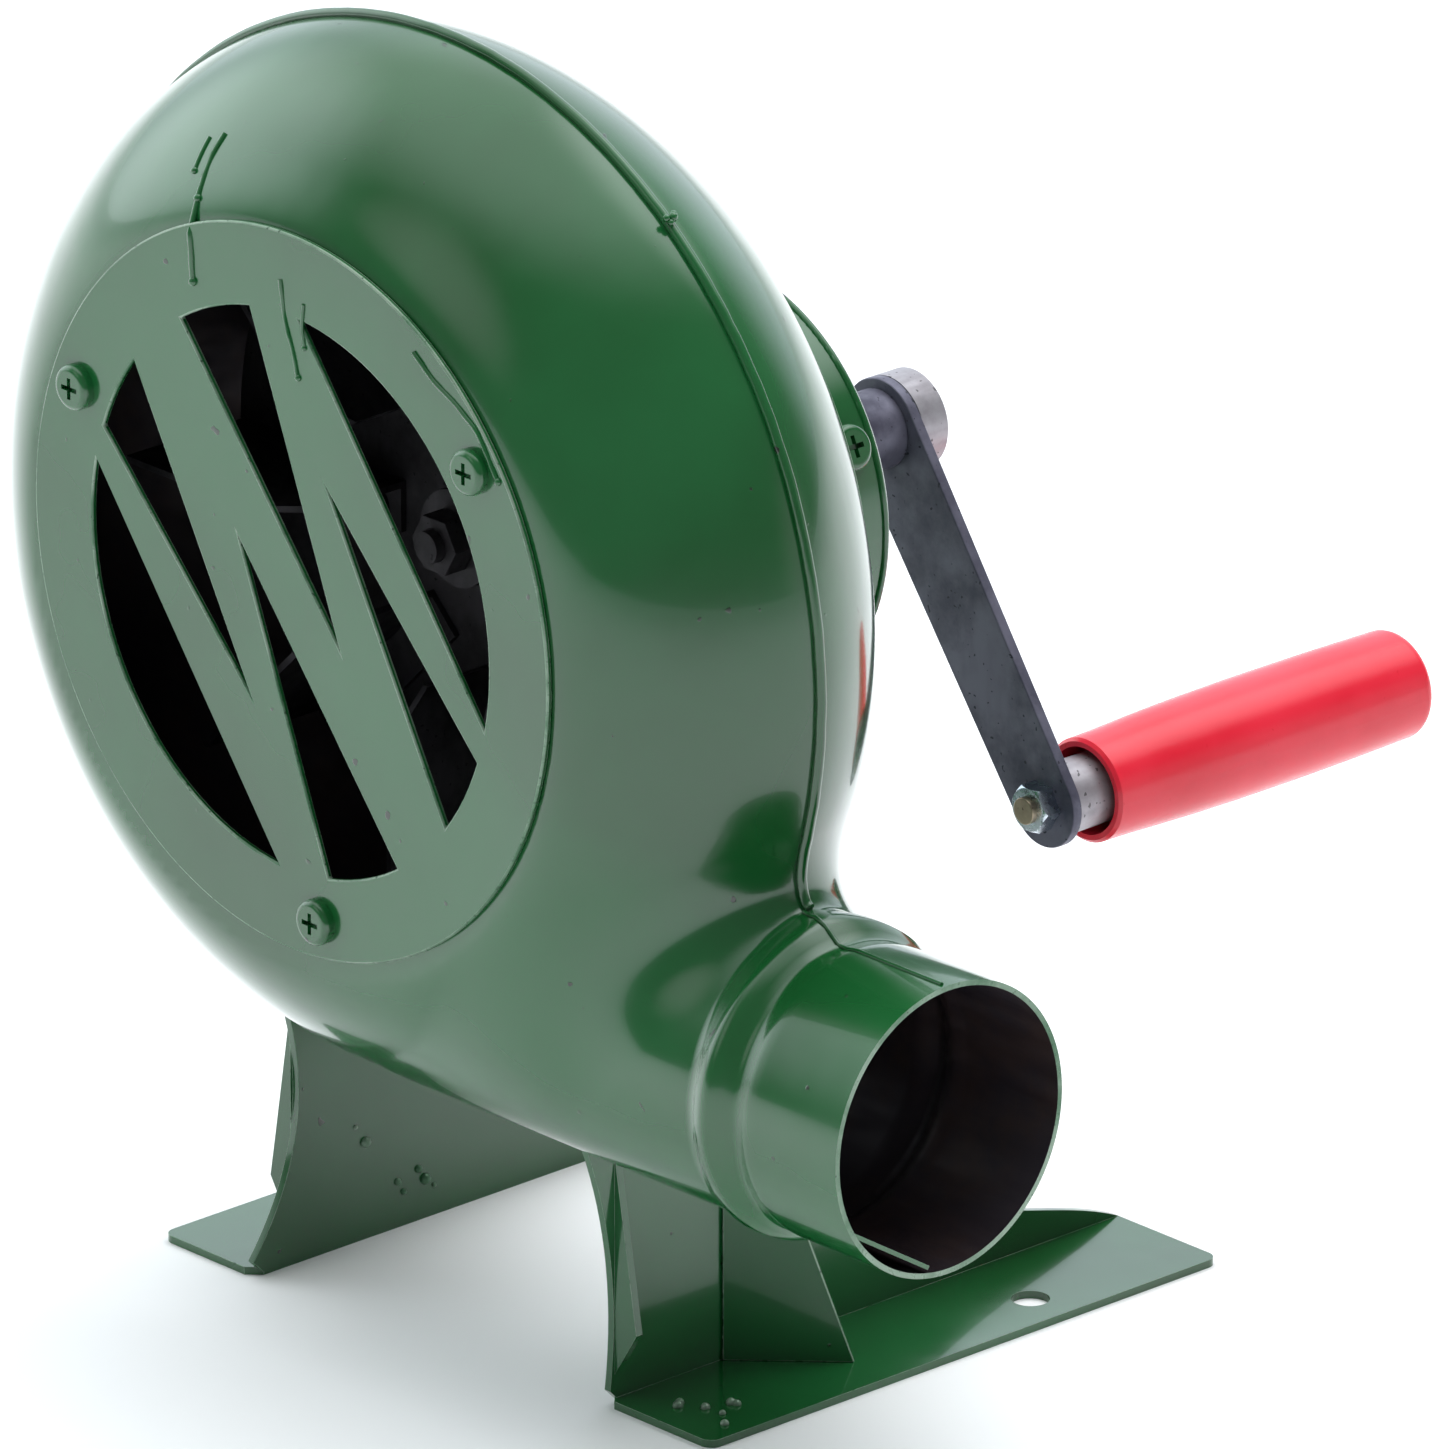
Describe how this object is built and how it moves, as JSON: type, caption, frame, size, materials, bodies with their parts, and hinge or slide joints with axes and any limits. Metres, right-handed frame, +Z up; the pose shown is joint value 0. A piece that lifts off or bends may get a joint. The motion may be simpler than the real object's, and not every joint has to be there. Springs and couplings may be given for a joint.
{
  "type": "hand-crank forge blower",
  "caption": "Hand-crank centrifugal forge blower: round green steel casing with side outlet tube, two bench feet, gearbox, crank arm and red grip.",
  "frame": {"origin": "on the bench plane, midway between the centres of the two foot bolt holes", "axes": "+Z up; +X towards the outlet mouth, along the outlet axis; -Y towards the inlet grille, +Y towards the crank, along the fan axis"},
  "size_m": [0.2295, 0.2174, 0.2425],
  "materials": {
    "enamel": "gloss",
    "bright_steel": "satin",
    "zinc": "satin",
    "arm_steel": "semi-gloss",
    "brass": "satin",
    "fan_sheet": "dull",
    "red_plastic": "gloss"
  },
  "bodies": {
    "casing": {"front_shell": "enamel", "rear_shell": "enamel", "seam_strip": "enamel", "lap_strip": "enamel", "inlet_grille": "enamel", "grille_screws": "enamel", "back_plate": "enamel", "plate_screws": "enamel", "fan_bush": "brass", "cover_tabs": "enamel", "gear_cover": "enamel", "cover_screws": "enamel", "crank_bush": "enamel", "idler_pin": "bright_steel", "idler_spacer": "bright_steel", "idler_clip": "bright_steel", "front_foot": "enamel", "rear_foot": "enamel", "front_wing": "enamel", "rear_wing": "enamel"},
    "fan": {"fan_shaft": "fan_sheet", "fan_pinion": "bright_steel", "impeller_disc": "fan_sheet", "impeller_blades": "fan_sheet", "impeller_rivets": "fan_sheet", "impeller_hub": "fan_sheet", "fan_nut": "fan_sheet"},
    "idler": {"idler_gear": "bright_steel", "idler_pinion": "bright_steel"},
    "crank": {"crank_shaft": "bright_steel", "drive_gear": "bright_steel", "crank_spacer": "arm_steel", "crank_arm": "arm_steel", "crank_hub": "bright_steel", "hub_pin": "bright_steel", "handle_bolt": "brass", "handle_nut": "zinc", "handle_sleeve": "bright_steel", "handle_washer": "zinc"},
    "grip": {"handle_grip": "red_plastic"}
  },
  "joints": [
    {"name": "crank_turn", "type": "hinge", "parent": "casing", "child": "crank", "pos_m": [0.0065, -0.011, 0.149], "axis": [0, 1, 0], "continuous": true},
    {"name": "idler_turn", "type": "hinge", "parent": "casing", "child": "idler", "pos_m": [-0.01739, -0.031, 0.15821], "axis": [0, 1, 0], "continuous": true},
    {"name": "fan_spin", "type": "hinge", "parent": "casing", "child": "fan", "pos_m": [-0.009, -0.045, 0.1465], "axis": [0, 1, 0], "continuous": true},
    {"name": "grip_spin", "type": "hinge", "parent": "crank", "child": "grip", "pos_m": [0.0488, 0.061, 0.08926], "axis": [0, 1, 0], "continuous": true}
  ],
  "couplings": [
    {"joint": "idler_turn", "follows": "crank_turn", "ratio": -4.3333},
    {"joint": "fan_spin", "follows": "crank_turn", "ratio": 13}
  ]
}
